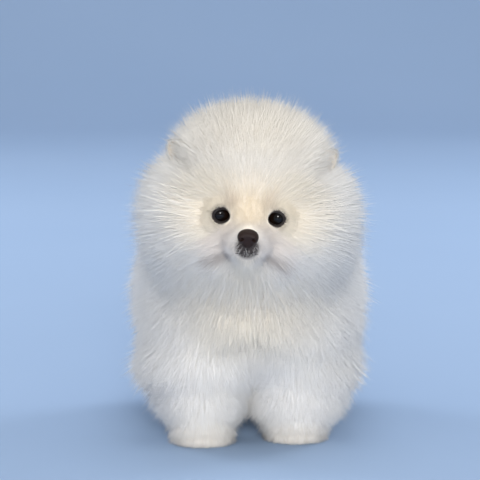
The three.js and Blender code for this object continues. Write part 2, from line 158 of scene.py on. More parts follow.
# Legs, from the top down: radii, then y and z of the top, and y from the foot and z of the two joints below
FRONT_LEG = ((16, 12, 9.5, 10), (-34, 78), (10, 48), (4, 28))
HIND_LEG = ((22, 14, 9, 10), (42, 80), (-14, 52), (6, 28))
LEG_IN = 0.75  # how far out a leg's top is, as a share of its foot's
LEG_END = 11  # height of a leg's end in its paw
FRONT_PAWS = ((-29, -54), (29, -44))
HIND_PAWS = ((-29, 54), (29, 58))
TOES = ((-9, -6), (-3.2, -9.5), (3.2, -9.5), (9, -6))  # x and y from the middle of the paw
TOE_HEIGHT, TOE_RADII = 6.2, [4.9, 7.6, 6.4]
PAD_HEIGHT, PAD_RADII = 6.5, (15.5, 12.5, 9.5)
HIND_PAW_WIDTH = 0.9  # of a front paw's


def leg_field(foot, hind):
    x, y = foot
    radii, (top_y, top_z), *joints = HIND_LEG if hind else FRONT_LEG
    path = [(x * LEG_IN, top_y, top_z)] + [(x, y + away, up) for away, up in joints] + [(x, y, LEG_END)]
    return chain(path, radii, LEG_BLEND)


def paw_field(foot, hind):
    x, y = foot
    share = HIND_PAW_WIDTH if hind else 1.0
    wide, long, tall = PAD_RADII
    toes = [ellipsoid([x + out * share, y + ahead, TOE_HEIGHT], TOE_RADII) for out, ahead in TOES]
    return join([ellipsoid([x, y - 1, PAD_HEIGHT], [wide * share, long, tall])] + toes, PAW_BLEND)


FEET = [(f, False) for f in FRONT_PAWS] + [(f, True) for f in HIND_PAWS]
leg_skins = [leg_field(f, h) for f, h in FEET]
paw_skins = [paw_field(f, h) for f, h in FEET]


# Depth of the coat from the bare skin to its tips, by place
FACE_TO_CROWN = (-39, -6)  # y in the head, over which the face's coat grows into the crown's
BEFORE_EARS, PAST_EARS = (-24, -10), (-4, 8)  # y in the head, where the dip round the ears starts and eases
CHEEK_TURN, CHEEK_BACK = (70, 95), (-30, -10)  # degrees from the top, and y in the head
BRIDGE_HALF, BRIDGE_AHEAD, BRIDGE_LOW, BRIDGE_TOP = (5, 13), (19, 28), (-20, -10), (3, 14)
BRIDGE_SHORT = 0.65  # what the coat loses along the bridge, between the eyes
MUZZLE_AT, MUZZLE_REACH, MUZZLE_COAT = [0, -40, -16], (8, 24), 0.55
EYE_REACH, EYE_COAT = (8.0, 19), 0.13
BACK_HEIGHT = 88  # of the line through the middle of the torso
FLANK_HEIGHT, FLANK_SPAN, FLANK_OUT = 70, 22, (25, 45)
BELLY_TO_SIDE = (-0.98, -0.3)  # rise over distance from the middle
SHIN_AHEAD, SHIN_HEIGHT, SHIN_SHORT = (44, 60), (26, 82), 0.5
LEG_GROWTH, HIP_GROWTH = (0, 40), (34, 66)  # heights over which the coat of a leg grows


def eye_distance(q):
    return np.minimum(*[np.linalg.norm(q - EYE_AT * [s, 1, 1], axis=-1) for s in SIDES])


def head_depth(p):
    q = to_head(p)
    x, y, z = q[..., 0], q[..., 1], q[..., 2]
    turn = np.degrees(np.arctan2(np.abs(x), z))
    ear = np.exp(-((turn - EAR_TURN) / EAR_REACH) ** 2)
    dip = EAR_DIP_BEFORE + (EAR_DIP_BEHIND - EAR_DIP_BEFORE) * smooth(y, *PAST_EARS)
    dip = dip * smooth(y, *BEFORE_EARS)
    depth = FACE_COAT + (CROWN_COAT * (1 - dip * ear) - FACE_COAT) * smooth(y, *FACE_TO_CROWN)
    depth = depth + CHEEK_COAT * smooth(turn, *CHEEK_TURN) * smooth(y, *CHEEK_BACK)
    middle = (1 - smooth(np.abs(x), *BRIDGE_HALF)) * smooth(-y, *BRIDGE_AHEAD) * smooth(z, *BRIDGE_LOW)
    depth = depth * (1 - BRIDGE_SHORT * middle * (1 - smooth(z, *BRIDGE_TOP)))
    by_eye = EYE_COAT + (1 - EYE_COAT) * smooth(eye_distance(q), *EYE_REACH)
    ahead = smooth(np.linalg.norm((q - MUZZLE_AT) * [1, 0.8, 1], axis=-1), *MUZZLE_REACH)
    return depth * by_eye * (MUZZLE_COAT + (1 - MUZZLE_COAT) * ahead)


def torso_depth(p):
    x, z = p[..., 0], p[..., 2]
    out = np.hypot(x, z - BACK_HEIGHT)
    up = (z - BACK_HEIGHT) / np.maximum(out, 1)
    flank = FLANK_COAT * np.exp(-((z - FLANK_HEIGHT) / FLANK_SPAN) ** 2) * smooth(out, *FLANK_OUT)
    return BELLY_COAT + (BODY_COAT - BELLY_COAT) * smooth(up, *BELLY_TO_SIDE) + flank


def leg_depth(p):
    y, z = p[..., 1], p[..., 2]
    before = smooth(-y, *SHIN_AHEAD) * (1 - smooth(z, *SHIN_HEIGHT))
    long = (LEG_COAT - FOOT_COAT) * smooth(z, *LEG_GROWTH) * (1 - SHIN_SHORT * before)
    return FOOT_COAT + long + HIP_COAT * smooth(z, *HIP_GROWTH)


def tail_depth(p):
    return np.full(p.shape[:-1], TAIL_COAT)


NECK_MELT, LEG_MELT, TAIL_MELT, PAW_MELT, HEAD_MELT, LID_MELT = 14, 8, 8, 2.5, 12, 3
TAIL_UNDERCOAT = 0.5  # of the share that the rest of the skin has
SOCKET_RADIUS = 6.9
SKIN_FLOOR = 0.05


def skin_field(p):
    """The one skin: the bare dog with its undercoat, its eye sockets and its flat soles."""
    made = head_skin(to_head(p)) - UNDERCOAT * (head_depth(p) - FACE_COAT).clip(0)
    under = UNDERCOAT * torso_depth(p)
    body = join_two(torso_skin(p) - under, neck_skin(p) - under, NECK_MELT)
    for leg in leg_skins:
        body = join_two(body, leg(p) - UNDERCOAT * leg_depth(p), LEG_MELT)
    body = join_two(body, tail_skin(p) - UNDERCOAT * tail_depth(p) * TAIL_UNDERCOAT, TAIL_MELT)
    for paw in paw_skins:
        body = join_two(body, paw(p), PAW_MELT)
    made = join_two(made, body, HEAD_MELT)
    q = to_head(p)
    for s in SIDES:
        at = EYE_AT * [s, 1, 1]
        made = join_two(made, np.linalg.norm(q - at, axis=-1) - LID_OUT, LID_MELT)
        off = q - at - [s * -OPENING_IN, 0, 0]
        opening = (np.linalg.norm(off[..., [0, 2]] / EYE_OPENING, axis=-1) - 1) * EYE_OPENING[1]
        made = np.maximum(made, -np.maximum(opening, off[..., 1]))
        made = np.maximum(made, SOCKET_RADIUS - np.linalg.norm(q - at, axis=-1))
    return np.maximum(made, SKIN_FLOOR - p[..., 2])


def slope(field, p, step=0.4):
    """The direction in which a field grows fastest, which is the normal of its surface."""
    rises = [field(p + axis * step) - field(p - axis * step) for axis in np.eye(3)]
    return unit(np.stack(rises, -1))


ROUNDS = 3  # of moving a mesh's points on to the field's surface
FARTHEST = 0.6  # of one such move


def surface(field, xs, ys, zs):
    """A closed mesh round a field's inside, with one point for each grid cell that the surface crosses."""
    grid = np.stack(np.meshgrid(xs, ys, zs, indexing="ij"), -1)
    f = field(grid.reshape(-1, 3)).reshape(grid.shape[:-1])
    shape = np.array(f.shape) - 1
    total, count = np.zeros(tuple(shape) + (3,)), np.zeros(tuple(shape))
    edges = []
    for axis in range(3):
        low = [slice(None)] * 3
        high = [slice(None)] * 3
        low[axis], high[axis] = slice(None, -1), slice(1, None)
        a, b = f[tuple(low)], f[tuple(high)]
        hit = (a < 0) != (b < 0)
        t = np.where(hit, a / np.where(hit, a - b, 1), 0)
        at = grid[tuple(low)] + t[..., None] * (grid[tuple(high)] - grid[tuple(low)])
        others = [k for k in range(3) if k != axis]
        for d0 in (0, 1):
            for d1 in (0, 1):
                cut = [slice(None)] * 3
                cut[others[0]] = slice(d0, d0 + shape[others[0]])
                cut[others[1]] = slice(d1, d1 + shape[others[1]])
                total += np.where(hit[tuple(cut)][..., None], at[tuple(cut)], 0)
                count += hit[tuple(cut)]
        edges.append((axis, hit, a < 0))
    used = count > 0
    index = np.full(used.shape, -1)
    index[used] = np.arange(used.sum())
    points = total[used] / count[used][:, None]
    faces = []
    for axis, hit, inside in edges:
        i = np.argwhere(hit)
        u, w = (axis + 1) % 3, (axis + 2) % 3
        i = i[(i[:, u] > 0) & (i[:, w] > 0) & (i[:, u] < f.shape[u] - 1) & (i[:, w] < f.shape[w] - 1)]
        corners = []
        for du, dw in ((-1, -1), (0, -1), (0, 0), (-1, 0)):
            j = i.copy()
            j[:, u] += du
            j[:, w] += dw
            corners.append(index[tuple(j.T)])
        quad = np.stack(corners, -1)
        outwards = inside[tuple(i.T)]
        faces.append(np.where(outwards[:, None], quad, quad[:, ::-1]))
    for _ in range(ROUNDS):
        n = slope(field, points)
        points = points - n * np.clip(field(points), -FARTHEST, FARTHEST)[:, None]
    return points, np.concatenate(faces)


def spread(*runs):
    """Grid places from runs of (start, end, step)."""
    made = [np.arange(a, b, s) for a, b, s in runs]
    return np.concatenate(made + [[runs[-1][1]]])


def mesh_piece(name, points, faces, material, normals=None):
    mesh = bpy.data.meshes.new(name)
    points = (np.asarray(points) + SHIFT) * MM
    faces = np.asarray(faces)
    size = faces.shape[1]
    mesh.vertices.add(len(points))
    mesh.vertices.foreach_set("co", points.astype(np.float32).ravel())
    mesh.loops.add(faces.size)
    mesh.loops.foreach_set("vertex_index", faces.astype(np.int32).ravel())
    mesh.polygons.add(len(faces))
    mesh.polygons.foreach_set("loop_start", np.arange(0, faces.size, size, dtype=np.int32))
    mesh.polygons.foreach_set("use_smooth", np.ones(len(faces), bool))
    mesh.update(calc_edges=True)
    mesh.materials.append(material)
    piece = bpy.data.objects.new(name, mesh)
    bpy.context.scene.collection.objects.link(piece)
    if normals is not None:
        mesh.normals_split_custom_set_from_vertices(normals.astype(np.float32))
    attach(piece, "root")
    return piece


# Materials
def material(name, **values):
    made = bpy.data.materials.new(name)
    made.use_nodes = True
    tree = made.node_tree
    shader = tree.nodes["Principled BSDF"]
    for key, value in values.items():
        shader.inputs[key.replace("_", " ")].default_value = value
    return made, tree, shader


def node(tree, kind, inputs=(), **settings):
    made = tree.nodes.new(kind)
    for key, value in settings.items():
        setattr(made, key, value)
    for key, value in dict(inputs).items():
        if isinstance(value, bpy.types.NodeSocket):
            tree.links.new(value, made.inputs[key])
        else:
            made.inputs[key].default_value = value
    return made


def mix_colour(tree, factor, a, b):
    made = tree.nodes.new("ShaderNodeMix")
    made.data_type = "RGBA"
    for socket, value in ((made.inputs[0], factor), (made.inputs[6], a), (made.inputs[7], b)):
        if isinstance(value, bpy.types.NodeSocket):
            tree.links.new(value, socket)
        else:
            socket.default_value = value if isinstance(value, float) else (*value, 1.0)
    return made.outputs[2]


UNDER_TINT = (0.78, 0.70, 0.61)  # of the undercoat
DEEP_TINT = (0.80, 0.72, 0.62)  # of the strands near their roots
WHITE = (0.93, 0.915, 0.88)
COOL = (0.88, 0.885, 0.905)
CREAM = (0.90, 0.81, 0.65)
TAN = (0.80, 0.66, 0.46)
PEACH = (0.86, 0.64, 0.43)
BLUSH = (0.95, 0.87, 0.81)
# painted shade for the paws, which the lamps light more than the legs
PAINTED_PAW_SHADE = (0.74, 0.68, 0.60)
LIP_SHADE = (0.42, 0.37, 0.35)
FAWN = (0.45, 0.32, 0.23)
LIP_DARK = (0.03, 0.023, 0.023)


def world_at(p):
    return (np.asarray(p, float) + SHIFT) * MM


# The coat's markings, and the painted shade on its paws, from a place on the skin: the centre, inner and
# outer reach, colour and strength
MARKS_AND_PAINTED_SHADE = [
    (from_head([0, 0, 30]), 10, 64, CREAM, 0.5),
    (from_head([0, -30, -3]), 4, 22, TAN, 0.9),
    (from_head([0, -30, -30]), 3, 18, CREAM, 0.4),
    (np.array([0, -58, 98]), 8, 46, CREAM, 0.6),
    (np.array([0, -10, 20]), 20, 55, CREAM, 0.45),
]
# Painted shade: each paw is darkened where the lamps light it more brightly than the legs
MARKS_AND_PAINTED_SHADE += [(np.array([x, y - 4, 6]), 6, 20, PAINTED_PAW_SHADE, 0.8) for x, y in FRONT_PAWS + HIND_PAWS]
for s in SIDES:
    MARKS_AND_PAINTED_SHADE += [
        (from_head([s * 18, -22, -2]), 5, 24, CREAM, 0.9),
        (from_head([s * 24, -16, -11]), 1, 9, PEACH, 0.7),
        (from_head([s * 11, -33, -18]), 4, 16, BLUSH, 0.85),
        (from_head([s * 9.5, -34, -25.6]), 0.5, 4.2, LIP_SHADE, 0.8),
        (from_head([s * 13.0, -31, -26.2]), 0.5, 4.2, LIP_SHADE, 0.75),
        (from_head([s * 16.5, -28, -27]), 0.5, 4.2, LIP_SHADE, 0.65),
        (from_head([s * 9.5, -26, 1.5]), 1, 9, FAWN, 0.6),
        (from_head([s * 10.5, -26, -6]), 1, 5, FAWN, 0.45),
    ]
DARK_PATCHES = [(from_head([0, -41, -21.0]), 5.5, 10.0)]
DARK_PATCHES += [(from_head([s * 16.4, -25.0, -4.5]), 5.6, 8.2) for s in SIDES]


def spot(tree, place, centre, near, far, strength):
    centre = tuple(world_at(centre))
    away = node(tree, "ShaderNodeVectorMath", {0: place, 1: centre}, operation="DISTANCE")
    share = node(tree, "ShaderNodeMapRange", {
        "Value": away.outputs["Value"], "From Min": near * MM, "From Max": far * MM,
        "To Min": strength, "To Max": 0.0}, interpolation_type="SMOOTHSTEP")
    return share.outputs["Result"]


def coat_colour(tree, place, dark_strengths, under=0.0):
    cloud = node(tree, "ShaderNodeTexNoise", {"Vector": place, "Scale": 26.0, "Detail": 2.0})
    colour = mix_colour(tree, cloud.outputs["Fac"], WHITE, COOL)
    for centre, near, far, tint, strength in MARKS_AND_PAINTED_SHADE:
        colour = mix_colour(tree, spot(tree, place, centre, near, far, strength), colour, tint)
    colour = mix_colour(tree, under, colour, UNDER_TINT)
    for patch, strength in zip(DARK_PATCHES, dark_strengths):
        colour = mix_colour(tree, spot(tree, place, *patch, strength), colour, LIP_DARK)
    return colour


def coat_material():
    made, tree, shader = material("coat_strands", Roughness=0.62, Specular_IOR_Level=0.25)
    shader.inputs["Sheen Weight"].default_value = 0.12
    shader.inputs["Sheen Roughness"].default_value = 0.4
    root = node(tree, "ShaderNodeAttribute", attribute_name="root_place")
    strand = node(tree, "ShaderNodeAttribute", attribute_name="strand")
    parts = node(tree, "ShaderNodeSeparateXYZ", {0: strand.outputs["Vector"]})
    colour = coat_colour(tree, root.outputs["Vector"], (0.6, 0.25, 0.25))
    deep = node(tree, "ShaderNodeMapRange", {
        "Value": parts.outputs["X"], "From Min": 0.0, "From Max": 0.75, "To Min": 0.3, "To Max": 0.0})
    colour = mix_colour(tree, deep.outputs["Result"], colour, DEEP_TINT)
    tone = node(tree, "ShaderNodeMapRange", {"Value": parts.outputs["Y"], "To Min": 0.90, "To Max": 1.06})
    shade = tone.outputs["Result"]
    tint = node(tree, "ShaderNodeVectorMath", {0: colour, "Scale": shade}, operation="SCALE")
    tree.links.new(tint.outputs["Vector"], shader.inputs["Base Color"])
    return made


def skin_material():
    made, tree, shader = material("skin_with_undercoat", Roughness=0.8, Specular_IOR_Level=0.2)
    place = node(tree, "ShaderNodeTexCoord").outputs["Object"]
    colour = coat_colour(tree, place, (0.98, 0.98, 0.98), 0.45)
    tree.links.new(colour, shader.inputs["Base Color"])
    hairs = node(tree, "ShaderNodeTexNoise", {
        "Vector": place, "Scale": 900.0, "Detail": 3.0, "Roughness": 0.7})
    bump = node(tree, "ShaderNodeBump", {
        "Height": hairs.outputs["Fac"], "Strength": 0.6, "Distance": 0.0006})
    tree.links.new(bump.outputs["Normal"], shader.inputs["Normal"])
    return made


def dark_material(name, colour, roughness, bump_scale, bump_depth, gloss=0.4):
    made, tree, shader = material(name, Roughness=roughness, Specular_IOR_Level=gloss)
    place = node(tree, "ShaderNodeTexCoord").outputs["Object"]
    pebble = node(tree, "ShaderNodeTexVoronoi", {"Vector": place, "Scale": bump_scale})
    tree.links.new(mix_colour(tree, pebble.outputs["Distance"], tuple(c * 0.75 for c in colour), colour),
                   shader.inputs["Base Color"])
    bump = node(tree, "ShaderNodeBump", {
        "Height": pebble.outputs["Distance"], "Strength": 0.5, "Distance": bump_depth})
    tree.links.new(bump.outputs["Normal"], shader.inputs["Normal"])
    return made


PUPIL_EDGE, IRIS_EDGE = (0.50, 0.60), (0.86, 0.93)  # radians from the axis of the eye


def eye_material():
    made, tree, shader = material("eye_wet", Roughness=0.03, IOR=1.34)
    place = node(tree, "ShaderNodeAttribute", attribute_name="iris")
    ring = node(tree, "ShaderNodeSeparateXYZ", {0: place.outputs["Vector"]})
    rays = node(tree, "ShaderNodeTexNoise", {
        "Vector": place.outputs["Vector"], "Scale": 9.0, "Detail": 4.0})
    iris = mix_colour(tree, rays.outputs["Fac"], (0.006, 0.003, 0.002), (0.012, 0.006, 0.004))
    edges = [node(tree, "ShaderNodeMapRange", {
        "Value": ring.outputs["Z"], "From Min": inner, "From Max": outer}).outputs["Result"]
        for inner, outer in (PUPIL_EDGE, IRIS_EDGE)]
    colour = mix_colour(tree, edges[0], (0.004, 0.003, 0.003), iris)
    colour = mix_colour(tree, edges[1], colour, (0.012, 0.007, 0.005))
    tree.links.new(colour, shader.inputs["Base Color"])
    return made


def ear_material():
    made, tree, shader = material("ear_skin", Roughness=0.7, Specular_IOR_Level=0.25)
    place = node(tree, "ShaderNodeTexCoord").outputs["Object"]
    noise = node(tree, "ShaderNodeTexNoise", {"Vector": place, "Scale": 220.0, "Detail": 3.0})
    colour = mix_colour(tree, noise.outputs["Fac"], (0.78, 0.67, 0.53), (0.86, 0.78, 0.67))
    tree.links.new(colour, shader.inputs["Base Color"])
    bump = node(tree, "ShaderNodeBump", {
        "Height": noise.outputs["Fac"], "Strength": 0.4, "Distance": 0.0004})
    tree.links.new(bump.outputs["Normal"], shader.inputs["Normal"])
    return made


coat_look = coat_material()
skin_look = skin_material()
lid_look = dark_material("lids_dark", (0.014, 0.010, 0.009), 0.45, 1600.0, 0.0001)
nose_look = dark_material("nose_leather", (0.020, 0.010, 0.008), 0.5, 1500.0, 0.00018, 0.25)
lip_look = dark_material("lips_dark", (0.02, 0.014, 0.013), 0.5, 1400.0, 0.00012)
ear_look = ear_material()

# The skin, with its finest grid at the face and the feet
skin_points, skin_faces = surface(
    skin_field,
    spread((-69, -42, 3.0), (-42, 42, 1.5), (42, 69, 3.0)),
    spread((-110, -62, 1.3), (-62, -30, 2.0), (-30, 100, 2.8)),
    spread((-2, 22, 1.5), (22, 112, 2.8), (112, 172, 1.5), (172, 204, 2.8)))
skin = mesh_piece("skin", skin_points, skin_faces, skin_look)
LEGS = [f"leg_{end}_{side}" for end in ("front", "hind") for side in ("left", "right")]
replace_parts(skin, "head", "neck", "torso", "tail", *LEGS)

# Camera: a long lens, a little above the dog and in front of it
PICTURE_WIDTH = 0.2985  # at the dog, in metres, as all below until the eyes
DISTANCE = 1.5
RISE = math.radians(8.0)
target = Vector((-0.0068, -0.045, 0.1254))
camera_data = bpy.data.cameras.new("camera")
camera = bpy.data.objects.new("camera", camera_data)
bpy.context.scene.collection.objects.link(camera)
back = Vector((0.0, -math.cos(RISE), math.sin(RISE)))
camera.location = target + back * DISTANCE
camera.rotation_mode = "QUATERNION"
camera.rotation_quaternion = (-back).to_track_quat("-Z", "Y")
camera_data.lens = camera_data.sensor_width * DISTANCE / PICTURE_WIDTH
bpy.context.scene.camera = camera


# Floor that curves up into a plain backdrop
FLOOR_HALF, FLOOR_FRONT, FLOOR_BACK = 9.0, -8.0, 2.0
CURVE, WALL_TOP = 1.2, 6.0


def backdrop():
    turns = np.linspace(0.1, math.pi / 2, 14)
    profile = [(FLOOR_FRONT, 0.0), (FLOOR_BACK, 0.0)]
    profile += [(FLOOR_BACK + CURVE * math.sin(a), CURVE - CURVE * math.cos(a)) for a in turns]
    profile += [(FLOOR_BACK + CURVE, WALL_TOP)]
    points = []
    for x in (-FLOOR_HALF, FLOOR_HALF):
        points += [(x, y, z) for y, z in profile]
    n = len(profile)
    mesh = bpy.data.meshes.new("floor")
    mesh.from_pydata(points, [], [(i, i + n, i + n + 1, i + 1) for i in range(n - 1)])
    for p in mesh.polygons:
        p.use_smooth = True
    floor = bpy.data.objects.new("floor", mesh)
    bpy.context.scene.collection.objects.link(floor)
    look, tree, shader = material("floor_paint", Roughness=0.75, Specular_IOR_Level=0.2)
    place = node(tree, "ShaderNodeTexCoord").outputs["Object"]
    cloud = node(tree, "ShaderNodeTexNoise", {"Vector": place, "Scale": 2.5, "Detail": 2.0})
    colour = mix_colour(tree, cloud.outputs["Fac"], (0.31, 0.43, 0.62), (0.34, 0.46, 0.65))
    tree.links.new(colour, shader.inputs["Base Color"])
    mesh.materials.append(look)


backdrop()


def lamp(name, at, aim, size, power, colour=(1, 1, 1), glints=True):
    data = bpy.data.lights.new(name, "AREA")
    data.shape = "DISK"
    data.size = size
    data.energy = power
    data.color = colour
    made = bpy.data.objects.new(name, data)
    made.location = at
    made.visible_glossy = glints
    made.rotation_mode = "QUATERNION"
    made.rotation_quaternion = (Vector(aim) - Vector(at)).to_track_quat("-Z", "Y")
    bpy.context.scene.collection.objects.link(made)


lamp("key", (0.06, -1.72, 0.60), (0, -0.03, 0.11), 0.28, 9, (1.0, 0.99, 0.97))
lamp("front", (0.15, -2.4, 0.3), (0, -0.03, 0.09), 2.2, 37, (1.0, 0.985, 0.96), glints=False)
lamp("low", (0.02, -1.3, 0.11), (0, -0.08, 0.11), 0.18, 3.6, (1.0, 0.93, 0.83), glints=False)
lamp("above", (0.1, 0.1, 1.7), (0, 0, 0.1), 1.0, 4, (0.99, 0.99, 1.0))
lamp("behind_left", (1.5, 1.1, 0.9), (0, 0, 0.11), 0.9, 17, (0.98, 0.99, 1.0))
lamp("behind_right", (-1.5, 1.1, 0.7), (0, 0, 0.11), 0.9, 15, (0.98, 0.99, 1.0))
lamp("wall", (0, 0.7, 2.4), (0, 3.0, 0.9), 1.2, 14, (1.0, 1.0, 1.0))
world = bpy.data.worlds.new("world")
world.use_nodes = True
world.node_tree.nodes["Background"].inputs["Color"].default_value = (0.80, 0.81, 0.83, 1)
world.node_tree.nodes["Background"].inputs["Strength"].default_value = 0.68
bpy.context.scene.world = world
bpy.context.scene.view_settings.view_transform = "Standard"
bpy.context.scene.view_settings.look = "None"
bpy.context.scene.cycles.max_bounces = 12
bpy.context.scene.cycles.diffuse_bounces = 10


# Eyes: a ball with a slightly raised cornea, its axis a little outwards
CORNEA, CORNEA_EDGE = 0.035, (0.55, 0.9)  # its rise, and the cosines of the angle over which it rises
GAZE_OUT, GAZE_UP = 0.12, 0.02


def eye_ball(side, name):
    across, rings = 64, 40
    angle = np.linspace(0, math.pi, rings + 1)[1:-1]
    turn = np.linspace(0, 2 * math.pi, across, endpoint=False)
    a, b = np.meshgrid(angle, turn, indexing="ij")
    local = np.stack([np.sin(a) * np.cos(b), np.sin(a) * np.sin(b), np.cos(a)], -1).reshape(-1, 3)
    local = np.concatenate([local, [[0, 0, 1], [0, 0, -1]]])
    bulge = 1 + CORNEA * smooth(local[:, 2], *CORNEA_EDGE)
    gaze = unit(np.array([side * GAZE_OUT, -1.0, GAZE_UP]))
    u = unit(np.cross([0, 0, 1.0], gaze))
    w = np.cross(gaze, u)
    radial = local * (EYE_RADIUS * bulge)[:, None]
    points = radial[:, :1] * u + radial[:, 1:2] * w + radial[:, 2:] * gaze + EYE_AT * [side, 1, 1]
    faces = []
    for i in range(rings - 2):
        for k in range(across):
            n = (k + 1) % across
            faces.append((i * across + k, (i + 1) * across + k, (i + 1) * across + n, i * across + n))
    top, low = (rings - 1) * across, (rings - 2) * across
    quads = np.array(faces)
    caps = [(top, k, (k + 1) % across) for k in range(across)]
    caps += [(top + 1, low + (k + 1) % across, low + k) for k in range(across)]
    tris = np.concatenate([quads[:, [0, 1, 2]], quads[:, [0, 2, 3]], np.array(caps)])
    piece = mesh_piece(name, from_head(points), tris, eye_look)
    from_axis = np.arccos(np.clip(local[:, 2], -1, 1))
    store(piece, "iris", np.stack([local[:, 0], local[:, 1], from_axis], -1))
    return piece


def store(piece, name, values):
    made = piece.data.attributes.new(name, "FLOAT_VECTOR", "POINT")
    made.data.foreach_set("vector", np.asarray(values, np.float32).ravel())


def sweep(centres, outs, sections, closed):
    """A tube: at each centre a loop of (outward, upward) offsets along two directions."""
    across = sections.shape[1]
    outward, upward = outs
    points = centres[:, None] + outward[:, None] * sections[..., :1] + upward[:, None] * sections[..., 1:]
    n = len(centres)
    tris = []
    for i in range(n if closed else n - 1):
        j = (i + 1) % n
        for k in range(across):
            m = (k + 1) % across
            a, b, c, d = i * across + k, j * across + k, j * across + m, i * across + m
            tris += [(a, b, c), (a, c, d)]
    points = points.reshape(-1, 3)
    if not closed:
        ends = len(points)
        points = np.concatenate([points, centres[:1], centres[-1:]])
        for k in range(across):
            m = (k + 1) % across
            tris += [(ends, k, m), (ends + 1, (n - 1) * across + m, (n - 1) * across + k)]
    return points, np.array(tris)


LID_STEPS = 56
LID_TILT = math.radians(6)
LID_THICK, LID_WIDE, LID_WIDER_ABOVE = 0.7, 1.0, 0.3
LID_AWAY = 0.35  # from the edge of the opening


def lids(side, name):
    """The dark rim round the eye: an almond loop on the ball, thicker above."""
    turn = np.linspace(0, 2 * math.pi, LID_STEPS, endpoint=False)
    flat_x = EYE_OPENING[0] * 1.02 * np.cos(turn) * (1 - 0.06 * np.cos(turn))
    flat_z = EYE_OPENING[1] * 0.98 * np.sin(turn) * (1 - 0.10 * np.abs(np.cos(turn)) ** 3)
    x = flat_x * math.cos(LID_TILT) + flat_z * math.sin(LID_TILT)
    z = flat_z * math.cos(LID_TILT) - flat_x * math.sin(LID_TILT)
    x = x * side - side * OPENING_IN
    y = -np.sqrt(np.maximum(LID_OUT ** 2 - x ** 2 - z ** 2, 4.0))
    centres = np.stack([x, y, z], -1)
    radial = unit(centres)
    along = unit(np.roll(centres, -1, 0) - np.roll(centres, 1, 0))
    away = np.cross(along, radial)
    away *= np.sign(np.sum(away * unit(centres * [1, 0, 1]), -1))[:, None]
    k = np.linspace(0, 2 * math.pi, 10, endpoint=False)
    wide = LID_WIDE + LID_WIDER_ABOVE * np.maximum(np.sin(turn), 0)
    across = np.cos(k)[None] * wide[:, None]
    sections = np.stack([across, LID_THICK * np.sin(k)[None] * np.ones((LID_STEPS, 1))], -1)
    points, tris = sweep(centres + away * LID_AWAY, (away, radial), sections, True)
    if side > 0:
        tris = tris[:, ::-1]
    mesh_piece(name, from_head(points + EYE_AT * [side, 1, 1]), tris, lid_look)


eye_look = eye_material()
for side, word in ((1, "left"), (-1, "right")):
    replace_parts(eye_ball(side, f"eyeball_{word}"), f"eye_{word}")
    lids(side, f"lids_{word}")


# Nose: a broad pad with comma-shaped nostrils and a groove down its middle. Places from NOSE_AT
PAD, PAD_BELOW = ((0, 0.4, 1.2), (5.9, 4.8, 3.9)), ((0, 0.6, -2.8), (4.0, 4.0, 3.9))
PAD_BLEND, WING_BLEND, CUT_BLEND = 2.0, 1.6, 0.8
WING = ((3.8, -1.0, -0.2), (2.5, 3.4, 2.8))
NOSTRIL = ((2.7, -5.4, -1.0), (3.9, -2.8, -0.6), 1.1, 0.95)
NOSTRIL_SLIT = ((3.5, -4.6, -1.6), (5.8, -1.8, -1.9), 0.65, 0.5)
GROOVE = ((0, -5.3, 0.5), (0, -4.2, -5.0), 0.45, 0.55)
NOSE_REACH, NOSE_STEP = (8.6, 7.4, 7.6), 0.36  # of the grid that the nose is made on


def on_nose(place, side=1):
    return NOSE_AT + np.array(place) * [side, 1, 1]


def nose_swelling(place, radii, side=1):
    return ellipsoid(on_nose(place, side), radii)


def nose_cut(a, b, ra, rb, side=1):
    return limb(on_nose(a, side), on_nose(b, side), ra, rb)


def nose_field(p):
    made = join_two(nose_swelling(*PAD)(p), nose_swelling(*PAD_BELOW)(p), PAD_BLEND)
    for s in SIDES:
        made = join_two(made, nose_swelling(*WING, s)(p), WING_BLEND)
        cut = join_two(nose_cut(*NOSTRIL, s)(p), nose_cut(*NOSTRIL_SLIT, s)(p), CUT_BLEND)
        made = np.maximum(made, -cut)
    return -join_two(-made, nose_cut(*GROOVE)(p), CUT_BLEND)


nose_grid = [np.arange(at - reach, at + reach, NOSE_STEP) for at, reach in zip(NOSE_AT, NOSE_REACH)]
nose_points, nose_faces = surface(nose_field, *nose_grid)
nose = mesh_piece("nose_pad", from_head(nose_points), nose_faces, nose_look)
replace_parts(nose, "nose")


# Lips: a thin dark line from the nose down, then out and back along the mouth
LIP_RADIUS, LIP_SUNK, GROOVE_SUNK = 0.6, 0.3, 0.1
MOUTH_HALF, MOUTH_FALL, MOUTH_PEAK = 7, 0.010, 0.8
MOUTH_HEIGHT, GROOVE_TOP = -24.6, -18.5
BEFORE_FACE = -62.0  # y in the head, from where a line walks back to the skin
WALK, STRIDE, CAUTION = 90, 2.0, 0.7


def on_face(x, z):
    """The skin's points straight behind places in front of the face."""
    y = np.full(x.shape, BEFORE_FACE)
    for _ in range(WALK):
        p = from_head(np.stack([x, y, z], -1))
        y = y + np.clip(skin_field(p), 0, STRIDE) * CAUTION
    return np.stack([x, y, z], -1)


def lip_line(name, x, z, depth):
    centres = on_face(x, z) + [0, depth, 0]
    along = unit(np.gradient(centres, axis=0))
    out = unit(np.cross(along, [0, 0, 1.0]) + NUDGE)
    out = np.where(out[:, 1:2] > 0, -out, out)
    up = np.cross(along, out)
    k = np.linspace(0, 2 * math.pi, 8, endpoint=False)
    taper = np.sin(np.linspace(0.25, math.pi - 0.12, len(centres))) ** 0.5
    sections = np.stack([np.cos(k), np.sin(k)], -1)[None] * (LIP_RADIUS * taper)[:, None, None]
    points, tris = sweep(centres, (out, up), sections, False)
    mesh_piece(name, from_head(points), tris, lip_look)


